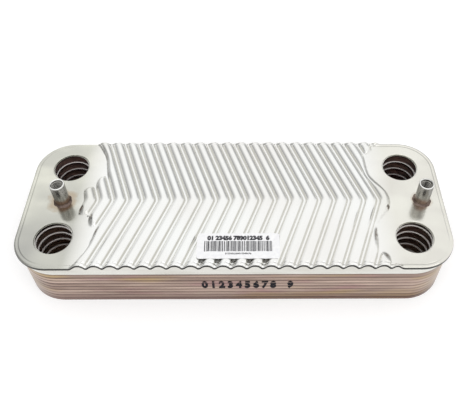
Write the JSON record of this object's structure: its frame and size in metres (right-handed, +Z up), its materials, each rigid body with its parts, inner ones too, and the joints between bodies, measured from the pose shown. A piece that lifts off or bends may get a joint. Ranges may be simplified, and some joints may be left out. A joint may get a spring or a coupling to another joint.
{
  "type": "plate heat exchanger",
  "caption": "Brazed stack of chevron-pressed stainless plates with nested skirts, corner ports and tubular threaded studs, for heating tap water.",
  "frame": {"origin": "middle of the stack's footprint, at the lowest skirt's edge", "axes": "+X along the plates towards the outer stud, +Y across them, +Z up out of the ports"},
  "size_m": [0.187, 0.0706, 0.038],
  "materials": {
    "cover_steel": "bright pressed stainless sheet, satin",
    "skirt_steel": "bright drawn stainless sheet, satin",
    "copper_washed_steel": "stainless sheet washed with braze copper, dull",
    "braze_copper": "braze copper, dull",
    "stud_steel": "turned stainless steel",
    "label_film": "white printed label film"
  },
  "bodies": {
    "root": {"cover_plate": "cover_steel", "seal_plate": "skirt_steel", "channel_plate_1": "copper_washed_steel", "channel_plate_2": "copper_washed_steel", "channel_plate_3": "copper_washed_steel", "channel_plate_4": "copper_washed_steel", "channel_plate_5": "copper_washed_steel", "channel_plate_6": "copper_washed_steel", "channel_plate_7": "copper_washed_steel", "channel_plate_8": "copper_washed_steel", "end_plate": "copper_washed_steel", "braze_seam_1": "braze_copper", "braze_seam_2": "braze_copper", "braze_seam_3": "braze_copper", "braze_seam_4": "braze_copper", "braze_seam_5": "braze_copper", "braze_seam_6": "braze_copper", "braze_seam_7": "braze_copper", "braze_seam_8": "braze_copper", "braze_seam_9": "braze_copper", "stud_left": "stud_steel", "stud_right": "stud_steel", "stud_braze_left": "braze_copper", "stud_braze_right": "braze_copper", "label": "label_film"}
  },
  "joints": []
}
